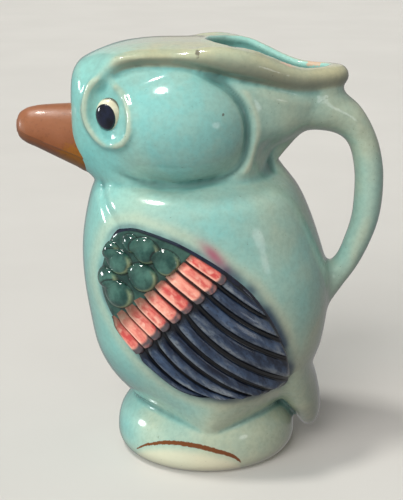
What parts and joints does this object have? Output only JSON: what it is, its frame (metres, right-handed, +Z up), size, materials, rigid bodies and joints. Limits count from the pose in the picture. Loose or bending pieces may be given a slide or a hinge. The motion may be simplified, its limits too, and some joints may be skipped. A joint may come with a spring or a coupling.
{
  "type": "bird-shaped pitcher",
  "caption": "Glazed ceramic pitcher in the form of a perched bird: round foot, hollow body with relief wings, head with an open rolled-rim mouth on top, stout beak and a strap handle behind.",
  "frame": {"origin": "on the table, under the middle of the jug's overall length and width", "axes": "+Z up; the bird faces -X; its left side is -Y, so the handle is towards +X"},
  "size_m": [0.1738, 0.1106, 0.2014],
  "materials": {
    "turquoise_glaze": "gloss",
    "brown_glaze": "gloss",
    "cream_glaze": "gloss",
    "ink_glaze": "gloss",
    "green_glaze": "gloss",
    "coral_glaze": "gloss",
    "slate_glaze": "gloss"
  },
  "bodies": {
    "root": {"foot": "turquoise_glaze", "body_shell": "turquoise_glaze", "head_shell": "turquoise_glaze", "rim_roll": "turquoise_glaze", "beak": "brown_glaze", "handle": "turquoise_glaze", "tail": "turquoise_glaze", "left_eye_ring": "turquoise_glaze", "right_eye_ring": "turquoise_glaze", "left_eyeball": "cream_glaze", "right_eyeball": "cream_glaze", "left_pupil": "ink_glaze", "right_pupil": "ink_glaze", "left_wing_bed": "ink_glaze", "right_wing_bed": "ink_glaze", "left_wing_coverts": "green_glaze", "right_wing_coverts": "green_glaze", "left_wing_band": "coral_glaze", "right_wing_band": "coral_glaze", "left_wing_primaries": "slate_glaze", "right_wing_primaries": "slate_glaze"}
  },
  "joints": []
}
